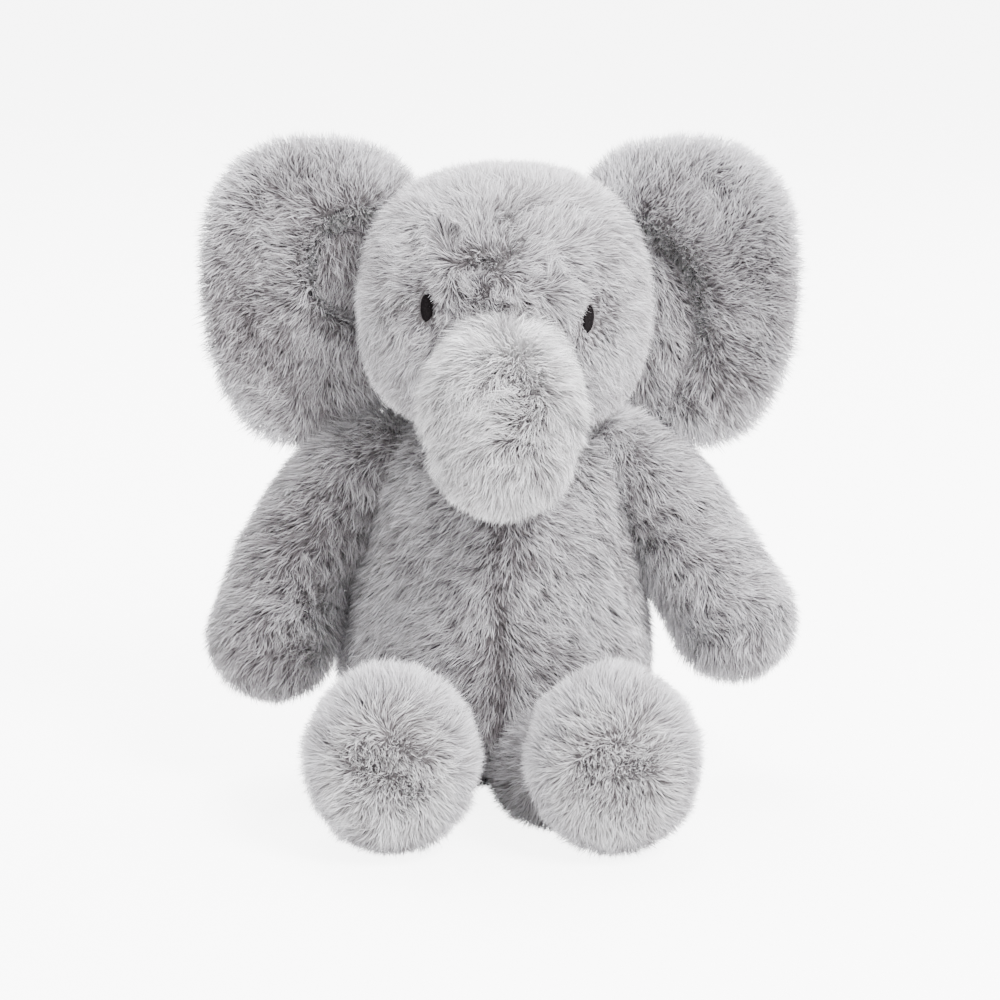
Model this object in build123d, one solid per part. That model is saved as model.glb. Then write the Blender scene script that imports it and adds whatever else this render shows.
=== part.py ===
from build123d import *

# A seated plush elephant, cut and sewn from long-pile fabric, as the pieces it comes apart into.
#
# The frame: +Z up, the face looks along -Y, +X is to the right of someone who faces the toy.
# The origin is on the table, in the middle of the flat seat. Every size is in millimetres.
# "left" and "right" are the elephant's own, so its right side is at -X.
#
# Limbs are built from balls and the cones that join them. Each joint is then a round end in a round,
# fabric-lined seat, and keeps its clearance while it turns.

import os
from math import asin, cos, radians, sin

OUT = "parts"

# Fabric, from the outside of the lying pile to the inside of the backing.
FABRIC = 9.0
# Clearance between parts that move against each other, and what each step of a swing adds to it.
GAP = 0.5
SWING_STEP = 0.2
# Turned shapes start their circle at this angle, which keeps their seam lines off the cutting planes.
START_ANGLE = 37.0

# Torso, a pear on the Z axis: (height, radius) stations from the seat to the neck.
TORSO_HEIGHT = 158.0
TORSO_STATIONS = [(0, 46), (14, 58), (34, 63.5), (62, 64), (92, 60), (122, 53), (142, 44), (154, 26)]
TORSO_SIDE_SEAM_Y = 6.0
TORSO_BASE_SEAM_Z = 13.0

# Head, an ellipsoid that is round about a vertical axis, on which it turns.
HEAD_CENTRE = (2.0, -8.0, 206.5)
HEAD_RADII = (62.0, 62.0, 56.5)
GUSSET_HALF_WIDTH = 19.0
CHIN_TOP_Z = 198.0
CHIN_AHEAD = 4.0

# Trunk: (centre, radius) of each ball from the face to the tip. The first is the pivot.
TRUNK_BALLS = [((3, -48, 197), 27), ((2, -75, 172), 36.5), ((1, -84, 162), 29.5)]

# Ear, in its own plane: (distance out from the hinge line, height) round the outline.
EAR_HINGE = (48.0, 12.0)
EAR_SWEEP = 12.0
EAR_LIFT = 1.5
EAR_ROOT_RADIUS = 9.5
EAR_ROOT_Z = (174.0, 244.0)
EAR_THICKNESS = 22.0
EAR_OUTLINE = [(-5, 238), (8, 262), (34, 271), (58, 264), (73, 240), (76, 208),
               (71, 175), (56, 153), (34, 149), (12, 156), (-5, 178)]
EAR_INNER_SCALE = 0.86
EAR_WADDING = 7.0

# Arms: balls from the shoulder, which is the pivot, to the paw. Side -1 is at -X.
ARM_BALLS = {
    -1: [((-65, 0, 126), 24), ((-87, -9, 93), 26), ((-95, -18, 62), 28)],
    1: [((61, 2, 128), 24), ((80, -3, 100), 26), ((98, -10, 70), 27.5)],
}

# Legs: balls from the hip, which is the pivot, to the ankle, and the round foot in front of them.
LEG_BALLS = {
    -1: [((-38, -38, 30), 25), ((-42, -78, 33), 30)],
    1: [((38, -38, 30), 25), ((43, -78, 33), 30)],
}
FOOT_CENTRE = {-1: (-43, -103, 35.5), 1: (45, -103, 35.5)}
FOOT_RADII = (35.5, 27.0, 35.5)
SOLE_DEPTH = 11.0

# Tail, low on the back.
TAIL_BALLS = [((0, 64, 46), 8.0), ((0, 77, 36), 6.5), ((0, 84, 25), 8.5)]
TAIL_FABRIC = 4.0

# Embroidered eyes: place on the face, width and height. Each sits in a trimmed dart in the pile.
EYES = {-1: ((-29.0, 211.0), 5.6, 11.2), 1: ((35.0, 206.0), 5.6, 11.2)}
EYE_DEPTH = 2.6
EYE_INSET = 6.0

# Weighted pouch of plastic pellets, low in the seat.
POUCH_CENTRE = (0.0, 20.0, 26.0)
POUCH_RADII = (29.0, 29.0, 14.5)
POUCH_CLOTH = 0.8

# Hand-sewn stitches that close the back seam once the body is filled.
STITCH_COUNT = 8
STITCH_PITCH = 6.0
STITCH_RADIUS = 0.7
STITCH_LENGTH = 7.0
STITCH_LOW_Z = 68.0
STITCH_Y = 57.0

# How far each sewn joint turns, in degrees from the seated pose.
TRUNK_LIFT = (-6, 16)
EAR_FLAP = (-20, 20)
LEG_LIFT = (0, 25)
TAIL_WAG = (-35, 35)


def biggest(shape):
    """The largest solid of a shape, which drops the crumbs that a cut can leave."""
    solids = shape if isinstance(shape, (list, tuple)) else shape.solids()
    return max(solids, key=lambda solid: solid.volume)


def slab(x=(-400, 400), y=(-400, 400), z=(-400, 400)):
    """A box between the given limits, for splitting panels along their seams."""
    limits = (x, y, z)
    size = [high - low for low, high in limits]
    middle = [(high + low) / 2 for low, high in limits]
    return Pos(*middle) * Box(*size)


def halves(origin, along, toward):
    """Two big boxes on either side of the plane that holds a line, the first on the side of toward."""
    along = Vector(*along).normalized()
    toward = Vector(*toward)
    normal = toward - along * toward.dot(along)
    seam = Plane(origin=origin, x_dir=along, z_dir=normal)
    upper = seam.location * Pos(0, 0, 300) * Box(600, 600, 600)
    lower = seam.location * Pos(0, 0, -300) * Box(600, 600, 600)
    return upper, lower


def round_cone(start, start_radius, end, end_radius):
    """Two balls and the cone that touches both, as one turned solid."""
    axis = Vector(*end) - Vector(*start)
    length = axis.length
    lean = asin((start_radius - end_radius) / length)
    low = (start_radius * cos(lean), start_radius * sin(lean))
    high = (end_radius * cos(lean), length + end_radius * sin(lean))
    lower = (lean - radians(90)) / 2
    upper = (lean + radians(90)) / 2
    low_middle = (start_radius * cos(lower), start_radius * sin(lower))
    high_middle = (end_radius * cos(upper), length + end_radius * sin(upper))
    top = (0, length + end_radius)
    bottom = (0, -start_radius)
    with BuildPart() as made:
        with BuildSketch(Plane.XZ):
            with BuildLine():
                ThreePointArc(bottom, low_middle, low)
                Line(low, high)
                ThreePointArc(high, high_middle, top)
                Line(top, bottom)
            make_face()
        revolve(axis=Axis.Z)
    return biggest(Plane(origin=start, z_dir=axis).location * Rot(0, 0, START_ANGLE) * made.part)


def ball_chain(balls, grow=0.0):
    """The smooth tube through a row of balls, each grown or shrunk by the same amount."""
    made = None
    for (start, start_radius), (end, end_radius) in zip(balls, balls[1:]):
        link = round_cone(start, start_radius + grow, end, end_radius + grow)
        made = link if made is None else biggest(made.fuse(link))
    return made


def ellipsoid(centre, radii, grow=0.0, poles=(0, 90, 0)):
    """An ellipsoid with its axes along X, Y and Z. poles turns the poles of its surface, off the cuts."""
    ball = Rot(*poles) * Sphere(1.0)
    return biggest(Pos(*centre) * scale(ball, by=tuple(radius + grow for radius in radii)))


def torso_form(grow=0.0):
    """The pear of the torso with its flat seat. grow moves its whole outline out, or in if negative."""
    low = -grow
    top = TORSO_HEIGHT + grow
    rise = (top - low) / TORSO_HEIGHT
    stations = [(radius + grow, low + height * rise) for height, radius in TORSO_STATIONS]
    with BuildPart() as made:
        with BuildSketch(Plane.XZ):
            with BuildLine():
                Line((0, low), stations[0])
                Spline(*stations, (0, top), tangents=[(0.65, 0.76), (-1, 0)])
                Line((0, top), (0, low))
            make_face()
        revolve(axis=Axis.Z)
    return biggest(Rot(0, 0, START_ANGLE) * made.part)


def head_form(grow=0.0):
    return ellipsoid(HEAD_CENTRE, HEAD_RADII, grow)


def ear_form(side, scale=1.0, thickness=EAR_THICKNESS, root=EAR_ROOT_RADIUS, rounded=True):
    """An ear pad: its outline at a thickness, with a round roll along the hinge line."""
    hinge_x, hinge_y = EAR_HINGE
    lift = EAR_LIFT
    low, high = [z + lift for z in EAR_ROOT_Z]
    middle = (low + high) / 2
    half = (high - low) / 2 * scale
    points = [(side * out * scale, middle + (z + lift - middle) * scale) for out, z in EAR_OUTLINE]
    seam = Plane((side * hinge_x, hinge_y, 0), x_dir=(1, 0, 0), z_dir=(0, -1, 0))
    with BuildPart() as made:
        with BuildSketch(seam):
            with BuildLine():
                Spline(*points, periodic=True)
            make_face()
        extrude(amount=thickness / 2, both=True)
        if rounded:
            fillet(made.edges(), thickness * 0.44)
    pad = biggest(made.part)
    roll = Pos(side * hinge_x, hinge_y, middle) * Cylinder(root, 2 * half)
    web_x = sorted((side * hinge_x, side * (hinge_x + 26 * scale)))
    web = slab(web_x, (hinge_y - root, hinge_y + root), (middle - half, middle + half))
    pad = biggest(biggest(pad.fuse(web)).fuse(roll))
    return pad.rotate(Axis((side * hinge_x, hinge_y, 0), (0, 0, 1)), -side * EAR_SWEEP)


def ear_path(side, grow):
    """All the room an ear takes inside the head while it flaps: a fan about the hinge line."""
    hinge_x, hinge_y = EAR_HINGE
    origin = (side * hinge_x, hinge_y, 215)
    half = EAR_THICKNESS / 2 + grow
    reach = 60.0
    height = 190.0
    low, high = [EAR_SWEEP + angle for angle in EAR_FLAP]
    path = Pos(*origin) * Cylinder(half, height)
    steps = 7
    for step in range(steps):
        angle = low + (high - low) * step / (steps - 1)
        blade = Pos(side * (hinge_x + reach / 2), hinge_y, 215) * Box(reach, 2 * half, height)
        blade = blade.rotate(Axis(origin, (0, 0, 1)), -side * angle)
        path = path.fuse(blade)
    return biggest(path)


def foot_form(side, grow=0.0):
    return ellipsoid(FOOT_CENTRE[side], FOOT_RADII, grow, poles=(90, 0, 0))


def leg_form(side, grow=0.0):
    return biggest(ball_chain(LEG_BALLS[side], grow).fuse(foot_form(side, grow)))


def turning_path(balls, grow):
    """The room an arm takes when it turns right round an axis along X through its shoulder."""
    _, pivot_y, pivot_z = balls[0][0]
    with BuildPart() as made:
        with BuildSketch(Plane.XY):
            with BuildLine():
                for (x, y, z), radius in balls:
                    reach = Vector(0, y - pivot_y, z - pivot_z).length
                    CenterArc((x, reach), radius + grow, 0, 360)
            make_hull()
            with Locations((0, 200)):
                Rectangle(600, 400, mode=Mode.INTERSECT)
        revolve(axis=Axis.X)
    return Pos(0, pivot_y, pivot_z) * biggest(made.part)


def swinging_path(balls, grow, limits, axis=(1, 0, 0), steps=3):
    """A moving tube's room at even steps over its travel, each step a hair larger than the last."""
    low, high = limits
    pivot = balls[0][0]
    cutters = []
    for step in range(steps):
        angle = high + (low - high) * step / (steps - 1)
        shape = ball_chain(balls, grow + SWING_STEP * (steps - 1 - step))
        cutters.append(shape.rotate(Axis(pivot, axis), angle))
    return cutters


def cut_all(shape, cutters):
    """The shape less every cutter that reaches it, as its largest solid."""
    for cutter in cutters:
        box = shape.bounding_box()
        other = cutter.bounding_box()
        starts = [max(a, b) for a, b in zip(box.min, other.min)]
        ends = [min(a, b) for a, b in zip(box.max, other.max)]
        if all(start < end for start, end in zip(starts, ends)):
            shape = biggest(shape.cut(cutter))
    return shape


def word(side):
    return "right" if side < 0 else "left"


def make_ears(nodes):
    """Each ear is a front and a back panel sewn round the rim, with thin wadding between."""
    for side in (-1, 1):
        outer = ear_form(side)
        inner_root = EAR_ROOT_RADIUS - FABRIC + EAR_WADDING / 2
        inner = ear_form(side, EAR_INNER_SCALE, EAR_WADDING, inner_root, rounded=False)
        shell = biggest(outer.cut(inner))
        seam_at = (side * EAR_HINGE[0], EAR_HINGE[1], 0)
        normal = Vector(0, -1, 0).rotate(Axis.Z, -side * EAR_SWEEP)
        front, back = halves(seam_at, (0, 0, 1), tuple(normal))
        name = word(side)
        nodes[f"{name}_ear_front_panel"] = biggest(shell.intersect(front))
        nodes[f"{name}_ear_back_panel"] = biggest(shell.intersect(back))
        nodes[f"{name}_ear_wadding"] = inner


def make_trunk(nodes):
    """The trunk is a top panel and an under panel round a fibre core."""
    inner = ball_chain(TRUNK_BALLS, -FABRIC)
    shell = biggest(ball_chain(TRUNK_BALLS).cut(inner))
    root = TRUNK_BALLS[0][0]
    tip = TRUNK_BALLS[-1][0]
    top, under = halves(root, tuple(Vector(*tip) - Vector(*root)), (0, -1, 1))
    nodes["trunk_top_panel"] = biggest(shell.intersect(top))
    nodes["trunk_under_panel"] = biggest(shell.intersect(under))
    nodes["trunk_fibre_fill"] = inner


def make_arms(nodes):
    """Each arm is a front and a back panel round a fibre core."""
    for side in (-1, 1):
        balls = ARM_BALLS[side]
        inner = ball_chain(balls, -FABRIC)
        shell = biggest(ball_chain(balls).cut(inner))
        shoulder = balls[0][0]
        along = Vector(*balls[-1][0]) - Vector(*shoulder)
        front, back = halves(shoulder, tuple(along), (0, -1, 0))
        name = word(side)
        nodes[f"{name}_arm_front_panel"] = biggest(shell.intersect(front))
        nodes[f"{name}_arm_back_panel"] = biggest(shell.intersect(back))
        nodes[f"{name}_arm_fibre_fill"] = inner


def make_legs(nodes):
    """Each leg is a top and an under panel with a round sole, round a fibre core."""
    for side in (-1, 1):
        inner = leg_form(side, -FABRIC)
        hip = LEG_BALLS[side][0][0]
        seam_y = FOOT_CENTRE[side][1] - FOOT_RADII[1] + SOLE_DEPTH
        before = slab(y=(-400, seam_y))
        behind = slab(y=(seam_y, 400))
        above = slab(z=(hip[2], 400))
        below = slab(z=(-400, hip[2]))
        name = word(side)
        nodes[f"{name}_leg_top_panel"] = cut_all(leg_form(side), [before, below, inner])
        nodes[f"{name}_leg_under_panel"] = cut_all(leg_form(side), [before, above, inner])
        nodes[f"{name}_foot_sole_panel"] = cut_all(foot_form(side), [behind, inner])
        nodes[f"{name}_leg_fibre_fill"] = inner


def make_tail(nodes):
    """The tail is two strips of fabric round a thin core."""
    inner = ball_chain(TAIL_BALLS, -TAIL_FABRIC)
    shell = biggest(ball_chain(TAIL_BALLS).cut(inner))
    nodes["tail_right_panel"] = biggest(shell.intersect(slab(x=(-400, 0))))
    nodes["tail_left_panel"] = biggest(shell.intersect(slab(x=(0, 400))))
    nodes["tail_fibre_fill"] = inner


def make_head(nodes):
    """The head is two side panels, a gusset over the top and a chin, round a fibre core."""
    travel = (-TRUNK_LIFT[1], -TRUNK_LIFT[0])
    paths = swinging_path(TRUNK_BALLS, GAP, travel)
    lined_paths = swinging_path(TRUNK_BALLS, GAP + FABRIC, travel)
    bores = []
    beneath = head_form(-EYE_INSET)
    for side in (-1, 1):
        paths.append(ear_path(side, GAP))
        lined_paths.append(ear_path(side, GAP + FABRIC))
        (eye_x, eye_z), width, height = EYES[side]
        with BuildPart() as oval:
            with BuildSketch(Plane((eye_x, -90, eye_z), x_dir=(1, 0, 0), z_dir=(0, 1, 0))):
                Ellipse(width / 2, height / 2)
            extrude(amount=70)
        bore = biggest(oval.part)
        bores.append(biggest(bore.cut(beneath)))
        raised = biggest(bore.intersect(head_form(-EYE_INSET + EYE_DEPTH)))
        nodes[f"{word(side)}_eye_embroidery"] = biggest(raised.cut(beneath))
    fill = cut_all(head_form(-FABRIC), lined_paths)
    seam_low = HEAD_CENTRE[0] - GUSSET_HALF_WIDTH
    seam_high = HEAD_CENTRE[0] + GUSSET_HALF_WIDTH
    chin_back_y = HEAD_CENTRE[1] - CHIN_AHEAD
    beside = [slab(x=(-400, seam_low)), slab(x=(seam_high, 400))]
    seams = {
        "head_right_panel": [slab(x=(seam_low, 400))],
        "head_left_panel": [slab(x=(-400, seam_high))],
        "head_chin_panel": beside + [slab(y=(chin_back_y, 400)), slab(z=(CHIN_TOP_Z, 400))],
        "head_gusset": beside + [slab(y=(-400, chin_back_y), z=(-400, CHIN_TOP_Z))],
    }
    for name, cuts in seams.items():
        nodes[name] = cut_all(head_form(), cuts + paths + bores + [fill])
    nodes["head_fibre_fill"] = fill


def make_torso(nodes):
    """The torso is four panels and a seat round fibre and a pouch of pellets, closed up the back."""
    paths = [head_form(GAP)]
    lined_paths = [head_form(GAP + FABRIC)]
    for side in (-1, 1):
        travel = (-LEG_LIFT[1], LEG_LIFT[0])
        paths.append(turning_path(ARM_BALLS[side], GAP))
        lined_paths.append(turning_path(ARM_BALLS[side], GAP + FABRIC))
        paths += swinging_path(LEG_BALLS[side], GAP, travel)
        lined_paths += swinging_path(LEG_BALLS[side], GAP + FABRIC, travel)
    paths += swinging_path(TAIL_BALLS, GAP, TAIL_WAG, axis=(0, 0, 1))
    lined_paths.append(ball_chain(TAIL_BALLS, GAP + FABRIC))
    core = cut_all(torso_form(-FABRIC), lined_paths)
    stitches = []
    for index in range(STITCH_COUNT):
        z = STITCH_LOW_Z + index * STITCH_PITCH
        stitches.append(Pos(0, STITCH_Y, z) * Rotation(0, 90, 0) * Cylinder(STITCH_RADIUS, STITCH_LENGTH))
    nodes["back_closing_stitches"] = Compound(children=stitches)
    under = slab(z=(-400, TORSO_BASE_SEAM_Z))
    over = slab(z=(TORSO_BASE_SEAM_Z, 400))
    front = slab(y=(-400, TORSO_SIDE_SEAM_Y))
    back = slab(y=(TORSO_SIDE_SEAM_Y, 400))
    to_right = slab(x=(-400, 0))
    to_left = slab(x=(0, 400))
    seams = {
        "torso_base_panel": [over],
        "torso_front_right_panel": [under, back, to_left],
        "torso_front_left_panel": [under, back, to_right],
        "torso_back_right_panel": [under, front, to_left],
        "torso_back_left_panel": [under, front, to_right],
    }
    for name, cuts in seams.items():
        nodes[name] = cut_all(torso_form(), paths[:1] + cuts + paths[1:] + stitches + [core])
    pouch = ellipsoid(POUCH_CENTRE, POUCH_RADII)
    pellets = ellipsoid(POUCH_CENTRE, POUCH_RADII, -POUCH_CLOTH)
    nodes["torso_fibre_fill"] = biggest(core.cut(pouch))
    nodes["pellet_pouch_cloth"] = biggest(pouch.cut(pellets))
    nodes["pellet_fill"] = pellets


os.makedirs(OUT, exist_ok=True)
made_nodes = {}
make_ears(made_nodes)
make_trunk(made_nodes)
make_arms(made_nodes)
make_legs(made_nodes)
make_tail(made_nodes)
make_head(made_nodes)
make_torso(made_nodes)
for node_name, node_shape in made_nodes.items():
    export_step(node_shape, f"{OUT}/{node_name}.step")
    print(f"{node_name}: {node_shape.volume / 1000:.1f} cm3")
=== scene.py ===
"""A seated plush elephant: soft skins with long-pile fur, built round the CAD parts.

Skins are smooth stuffed forms a little inside the CAD envelope. Fur is combed mesh strands, whose tips
reach it.
Lengths in this script are in millimetres in the row frame until a mesh is made, and metres after that.
"""

import math

import bpy
import numpy as np
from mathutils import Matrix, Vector


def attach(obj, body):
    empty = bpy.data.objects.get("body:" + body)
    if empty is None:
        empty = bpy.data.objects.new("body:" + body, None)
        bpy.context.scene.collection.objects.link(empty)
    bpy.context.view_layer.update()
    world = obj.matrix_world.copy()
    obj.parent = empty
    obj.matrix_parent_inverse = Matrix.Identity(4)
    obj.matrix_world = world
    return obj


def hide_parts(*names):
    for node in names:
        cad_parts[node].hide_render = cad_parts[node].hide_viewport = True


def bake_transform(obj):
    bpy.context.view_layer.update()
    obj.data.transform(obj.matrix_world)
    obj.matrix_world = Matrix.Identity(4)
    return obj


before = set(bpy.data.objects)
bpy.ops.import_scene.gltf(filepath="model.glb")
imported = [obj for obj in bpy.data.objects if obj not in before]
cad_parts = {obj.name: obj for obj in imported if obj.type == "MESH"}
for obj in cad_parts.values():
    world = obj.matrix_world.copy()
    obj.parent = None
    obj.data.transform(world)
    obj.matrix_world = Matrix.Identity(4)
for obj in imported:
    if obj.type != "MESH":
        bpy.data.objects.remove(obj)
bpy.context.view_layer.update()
rng = np.random.default_rng(7)

MM = 0.001
# How far the stuffed skin lies inside the CAD envelope, which is the outside of the pile.
INSET = 6.5
# Strands per square millimetre of skin, the width of a strand at its root, and its length.
DENSITY = 2.8
STRAND_WIDTH = 0.27
PILE = 9.3
TAIL_PILE = 5.0
# The lowest that a strand may reach, just over the floor.
FLOOR_GAP = 0.25
# Small and large tufts: the size of a cell, and how far its strands are drawn together.
TUFTS = ((1.5, 0.12), (4.5, 0.07))
GUARD_HAIRS = 0.26
# The right side of the toy is at negative x. SIDES pairs each side's sign with its word.
SIDES = ((-1, "right"), (1, "left"))


# ---------------------------------------------------------------- helpers

def unit(v):
    return v / np.maximum(np.linalg.norm(v, axis=-1, keepdims=True), 1e-9)


def tangent(v, n):
    """The part of v that lies along the surface with normal n, as a unit vector."""
    return unit(v - n * np.sum(v * n, axis=-1, keepdims=True))


def smooth_noise(p, wavelength, seed, waves=7):
    """Smooth vector noise from -1 to 1, made of sines in random directions."""
    r = np.random.default_rng(seed)
    out = np.zeros((len(p), 3))
    for axis in range(3):
        for _ in range(waves):
            k = unit(r.normal(size=3)) * 2 * math.pi / (wavelength * r.uniform(0.7, 1.6))
            out[:, axis] += np.sin(p @ k + r.uniform(0, 2 * math.pi))
    return out / math.sqrt(waves) * 0.9


def bump(distance, radius):
    return np.exp(-((distance / radius) ** 2))


def nearness(p, centre, radius):
    """1 at a place and fading to 0 over the radius."""
    return bump(np.linalg.norm(p - np.array(centre), axis=1), radius)


def distance_to_path(p, path):
    """Distance from each point to a line of points, and how far along it the nearest place is, 0 to 1."""
    path = np.array(path, float)
    best = np.full(len(p), 1e9)
    along = np.zeros(len(p))
    count = len(path) - 1
    for i in range(count):
        a, b = path[i], path[i + 1]
        t = np.clip((p - a) @ (b - a) / ((b - a) @ (b - a)), 0, 1)
        d = np.linalg.norm(p - (a + t[:, None] * (b - a)), axis=1)
        near = d < best
        best = np.where(near, d, best)
        along = np.where(near, (i + t) / count, along)
    return best, along


def spline(points, count):
    """A smooth line through rows of numbers."""
    points = np.array(points, float)
    ends = np.vstack([2 * points[0] - points[1], points, 2 * points[-1] - points[-2]])
    out = []
    for s in np.linspace(0, len(points) - 1, count):
        i = min(int(s), len(points) - 2)
        t = s - i
        a, b, c, d = ends[i:i + 4]
        bend, twist = 2 * a - 5 * b + 4 * c - d, 3 * b - a - 3 * c + d
        out.append(0.5 * (2 * b + (c - a) * t + bend * t ** 2 + twist * t ** 3))
    return np.array(out)


def grid_faces(rows, columns):
    """Quads of a grid of rings that closes round its columns."""
    i = np.arange(rows - 1)[:, None] * columns
    j = np.arange(columns)[None, :]
    k = (j + 1) % columns
    return np.stack([i + j, i + k, i + columns + k, i + columns + j], axis=-1).reshape(-1, 4)


def vertex_normals(points, faces):
    a, b, c, d = (points[faces[:, i]] for i in range(4))
    n = np.cross(c - a, d - b)
    out = np.zeros_like(points)
    for i in range(4):
        np.add.at(out, faces[:, i], n)
    return unit(out)


def ring_surface(centres, radii, axis_hint, columns=96):
    """A closed skin through rings. radii holds two half widths for each ring."""
    centres, radii = np.array(centres, float), np.array(radii, float)
    rows = len(centres)
    along = unit(np.gradient(centres, axis=0))
    side = unit(np.cross(along, np.array(axis_hint, float)))
    up = np.cross(side, along)
    angle = np.linspace(0, 2 * math.pi, columns, endpoint=False)
    points = (centres[:, None] + radii[:, None, :1] * np.cos(angle)[None, :, None] * side[:, None]
              + radii[:, None, 1:] * np.sin(angle)[None, :, None] * up[:, None])
    faces = grid_faces(rows, columns)
    return points.reshape(-1, 3), faces


def stuffed_tube(balls, inset=INSET, rows=72, columns=72, hint=(0, 0, 1)):
    """A smooth stuffed tube through a row of balls (centre, radius)."""
    line = spline([list(c) + [r - inset] for c, r in balls], rows)
    start = unit(line[1, :3] - line[0, :3])
    end = unit(line[-1, :3] - line[-2, :3])
    cap = np.radians(np.linspace(-89, -4, 14))
    first = [list(line[0, :3] + start * line[0, 3] * math.sin(a)) + [line[0, 3] * math.cos(a)]
             for a in cap]
    last = [list(line[-1, :3] - end * line[-1, 3] * math.sin(a)) + [line[-1, 3] * math.cos(a)]
            for a in cap[::-1]]
    line = np.vstack([first, line, last])
    return ring_surface(line[:, :3], np.repeat(line[:, 3:], 2, axis=1), hint, columns)


def orient(points, faces):
    """Turns the faces so that the normals look out of a closed skin."""
    a, b, c, d = (points[faces[:, i]] for i in range(4))
    n = np.cross(c - a, d - b)
    middle = (a + b + c + d) / 4
    if np.sum(n * (middle - points.mean(0))) < 0:
        faces = faces[:, ::-1]
    return faces


# ---------------------------------------------------------------- forms

# Stuffed forms, out to the tips of the pile. The torso is a row of (height, radius).
TORSO = [(0, 22), (3, 36), (8, 45), (15, 52.5), (25, 59), (40, 63.5), (62, 64.2),
         (92, 60), (122, 53), (140, 45), (152, 31), (157, 12)]
HEAD = (2.0, -8.0, 206.5)
HEAD_RADII = (62.0, 62.0, 55.4)
# Soft swellings of the head: middle, radius and rise of each.
HEAD_SWELLINGS = [
    ((-44, -38, 186), 24, 2.5), ((48, -38, 183), 24, 2.5),  # cheeks
    ((-40, -20, 170), 21, 6.0), ((43, -20, 168), 21, 6.0),  # jowls
    ((-38, -10, 244), 24, 4.0), ((40, -10, 244), 24, 4.0),  # sides of the crown
    ((2, -66, 215), 15, 3.25),                              # bridge over the trunk
]
EYES = {-1: (-29.0, 211.0), 1: (35.0, 206.0)}
EYE_Y = HEAD[1] - 54
BROW = (-8, -58, 234)
# The trunk, arms and tail are rows of balls: (centre, radius).
TRUNK = [((3, -44, 194), 26), ((2, -61, 185), 29.5), ((1, -76, 178), 32.8),
         ((1, -80, 170), 33.4), ((1, -84, 162), 29.8)]
ARMS = {
    -1: [((-48, 3, 137), 23), ((-62, 1, 128), 25), ((-77, -4, 108), 26),
         ((-88, -10, 90), 26.5), ((-95, -18, 65), 28)],
    1: [((44, 4, 139), 23), ((58, 3, 130), 25), ((72, 0, 112), 26),
        ((84, -4, 94), 26.5), ((98, -10, 70), 27.5)],
}
SHOULDER = {-1: np.array([-65.0, 0, 126]), 1: np.array([61.0, 2, 128])}
SHOULDER_RADIUS = 24
# The leg's stations from the hip to the sole: (y, height, radius).
LEG = [(-14, 30, 6), (-18, 30, 15), (-26, 30, 21.5), (-38, 30, 25), (-58, 31, 28), (-76, 32.5, 30.5),
       (-88, 34.5, 33.5), (-98, 35.5, 35.6), (-108, 35.8, 35.8), (-117, 36, 33), (-124, 36, 27.5),
       (-128, 36, 20), (-130, 36, 10), (-130.5, 36, 6.6)]
HIP = {side: np.array([side * 38.0, -38, 30]) for side, _ in SIDES}
HIP_RADIUS = 25
SOLE = {-1: np.array([-43, -130, 36.0]), 1: np.array([45, -130, 36.0])}
SOLE_SEAM_Y = -117
# The edge of an ear: (out from its hinge, height).
EAR_HINGE_OUT = 48.0
EAR_HINGE = {side: np.array([side * EAR_HINGE_OUT, 12, 209]) for side, _ in SIDES}
EAR_RIM = [(-15, 236), (-10, 257), (6, 268), (34, 272), (57, 266), (73, 245), (77, 208),
           (72, 175), (57, 149), (36, 141), (18, 145), (4, 154), (-10, 174), (-15, 204)]
EAR_MIDDLE = np.array([31.0, 206.0])
EAR_HALF_SIZE = (46, 65)
EAR_HALF_THICKNESS = 7.5
EAR_SWEEP = math.radians(12)
# The smooth hollow beside the head: its middle, half sizes, how far it goes back, and its groove's depth.
EAR_HOLLOW = {-1: ((9, 216), (19.0, 20.0), 4.0, 2.2), 1: ((6, 192), (26.0, 36.0), 0.5, 4.2)}
TAIL = [((0, 62, 47), 8.0), ((0, 70, 41), 7), ((0, 77, 36), 6.5), ((0, 84, 25), 8.5)]
TAIL_INSET = 3.0


def press(points, faces, path, radius, depth):
    """Pushes the skin in along a line, as a seam or a crease does."""
    distance, _ = distance_to_path(points, path)
    n = vertex_normals(points, faces)
    return points - n * (bump(distance, radius) * depth)[:, None]


def torso_skin():
    line = spline(TORSO, 84)
    floor_gap, top = 2.2, 157
    z = np.clip(line[:, 0], floor_gap, top)
    r = np.maximum(line[:, 1] - INSET, 0.5)
    base = np.linspace(0.5, r[0], 8)[:-1]
    z = np.concatenate([np.full(7, floor_gap), z, [z[-1] + 1]])
    r = np.concatenate([base, r, [0.4]])
    centres = np.stack([np.zeros(len(z)), np.zeros(len(z)), z], 1)
    points, faces = ring_surface(centres, np.repeat(r[:, None], 2, 1), (0, 1, 0), 120)
    faces = orient(points, faces)
    for x in (-44, 43):
        shoulder = nearness(points, (x, 4, 144), 20)
        points = points + unit(np.array([x * 1.0, 0, 22])) * (shoulder * 9.0)[:, None]
    points[:, 0] -= nearness(points, (-62, 8, 52), 30) * 6.5
    # the lap lifts between the legs
    front = np.clip((-12 - points[:, 1]) / 34, 0, 1)
    low = np.clip((34 - points[:, 2]) / 30, 0, 1)
    points[:, 2] += 13 * front * front * (3 - 2 * front) * low
    points = press(points, faces, [(0, -62, 18), (0, -64, 60), (0, -60, 100), (0, -50, 135)], 3.6, 4.6)
    points = press(points, faces, [(0, 60, 18), (0, 64, 60), (0, 60, 100), (0, 50, 135)], 4.0, 2.6)
    return points, faces


def beside_trunk(p, clear, fade):
    """0 on the face's centre line and 1 at its sides."""
    return np.clip((np.abs(p[:, 0] - 3) - clear) / fade, 0, 1)


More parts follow.
